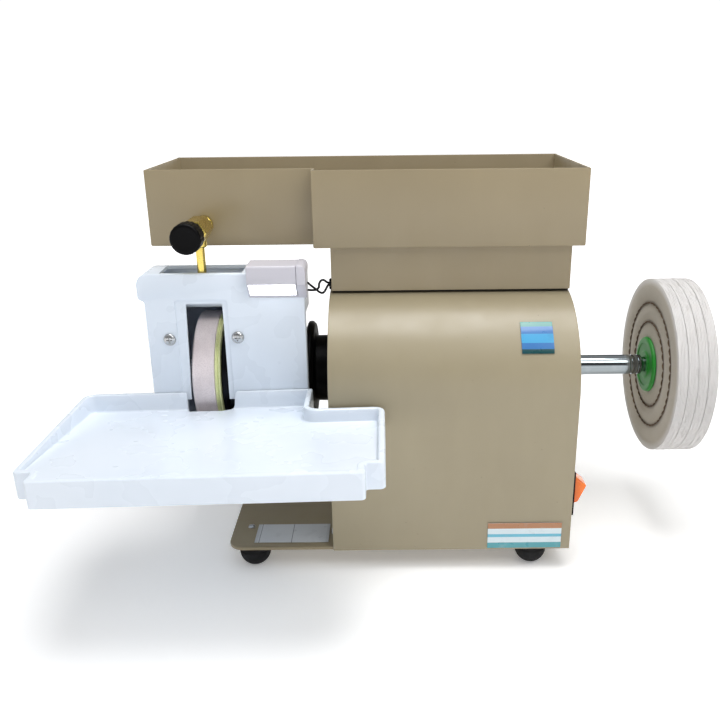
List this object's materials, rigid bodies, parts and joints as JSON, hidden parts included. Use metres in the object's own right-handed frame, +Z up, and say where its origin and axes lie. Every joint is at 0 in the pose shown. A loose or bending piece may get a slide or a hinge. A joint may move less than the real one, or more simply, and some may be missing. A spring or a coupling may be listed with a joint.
{
  "type": "bench-top lens edger",
  "caption": "Bench-top wet grinding and polishing machine: a motor housing under an open water tank, with a hooded wheel and splash tray on one side and a cloth buff on the other.",
  "frame": {"origin": "middle of the underside of the whole machine's box, on the bench under the four feet", "axes": "+X along the spindle from the grinding wheel towards the buff, +Y from the operator towards the back, +Z up"},
  "size_m": [0.519, 0.3044, 0.3188],
  "materials": {
    "beige_paint": "smooth semi-gloss stoved enamel, faint orange peel",
    "white_plastic": "moulded white plastic, satin to gloss",
    "black_plastic": "moulded black plastic",
    "rubber": "matt black rubber",
    "chrome": "bright polished chrome",
    "steel": "turned and plated steel",
    "cast_iron": "cast, bare",
    "tank_paint": "the same enamel, a little darker and more worn",
    "lamination": "varnished lamination stack with copper windings",
    "brass": "polished brass, faintly tarnished",
    "ceramic": "fine bonded abrasive, matt and wet-worn",
    "bevel_ceramic": "fine bonded abrasive, yellow-green",
    "cotton": "stitched cotton plies, soft nap",
    "green_fibre": "green dyed hub disc",
    "orange_rocker": "translucent orange switch cap",
    "aluminium": "brushed tag plate",
    "diffuser": "opal diffuser",
    "badge_film": "printed vinyl badge with plain colour bands, no lettering",
    "blue_film": "blue foil badge, no lettering",
    "lead_sheath": "thin black insulated wire"
  },
  "bodies": {
    "frame": {"base_plate": "tank_paint", "foot_front_left": "rubber", "foot_back_left": "rubber", "foot_front_right": "rubber", "foot_back_right": "rubber", "housing_wrap": "beige_paint", "side_panel_left": "beige_paint", "side_panel_right": "beige_paint", "back_panel": "beige_paint", "riser_gasket": "rubber", "tank_riser": "tank_paint", "water_tank": "tank_paint", "tap_body": "brass", "tap_locknut": "brass", "drip_tube": "brass", "wheel_hood": "white_plastic", "hood_screw_left": "steel", "hood_screw_right": "steel", "wheel_chamber": "white_plastic", "drain_spout": "white_plastic", "chamber_flange": "black_plastic", "lamp_housing": "white_plastic", "lamp_led_board": "green_fibre", "lamp_diffuser": "diffuser", "lamp_end_cap": "white_plastic", "lamp_lead_upper": "lead_sheath", "lamp_lead_lower": "lead_sheath", "lead_grommet": "rubber", "splash_tray": "white_plastic", "tray_bracket": "steel", "motor_stator": "lamination", "motor_endbell_left": "cast_iron", "bearing_left": "chrome", "motor_endbell_right": "cast_iron", "bearing_right": "chrome", "motor_cradle": "cast_iron", "run_capacitor": "aluminium", "switch_body": "black_plastic", "cable_gland": "black_plastic", "tag_plate": "aluminium", "tag_screw": "steel", "upper_badge": "blue_film", "lower_badge": "badge_film"},
    "spindle": {"motor_shaft": "steel", "motor_rotor": "steel", "grinding_wheel": "ceramic", "bevel_wheel": "bevel_ceramic", "wheel_flange_outer": "steel", "wheel_flange_inner": "cast_iron", "wheel_nut": "steel", "arbor_extension": "chrome", "buff_flange_inner": "green_fibre", "buff_wheel": "cotton", "buff_flange_outer": "green_fibre", "buff_nut": "steel"},
    "tap_stem": {"tap_stem": "brass"},
    "tap_knob": {"tap_knob": "black_plastic"},
    "rocker": {"switch_rocker": "orange_rocker"}
  },
  "joints": [
    {"name": "spindle_spin", "type": "hinge", "parent": "frame", "child": "spindle", "pos_m": [0.03948, 0.0478, 0.147], "axis": [1, 0, 0], "continuous": true},
    {"name": "tap_lift", "type": "slide", "parent": "frame", "child": "tap_stem", "axis": [0, -1, 0], "range_m": [0, 0.0012]},
    {"name": "tap_turn", "type": "hinge", "parent": "tap_stem", "child": "tap_knob", "pos_m": [-0.15652, -0.0302, 0.276], "axis": [0, -1, 0], "range_deg": [0, 540]},
    {"name": "power_rocker", "type": "hinge", "parent": "frame", "child": "rocker", "pos_m": [0.12748, -0.0257, 0.0665], "axis": [0, 1, 0], "range_deg": [0, 30]}
  ],
  "couplings": [
    {"joint": "tap_lift", "follows": "tap_turn", "m_per_rad": 0.00012732}
  ]
}
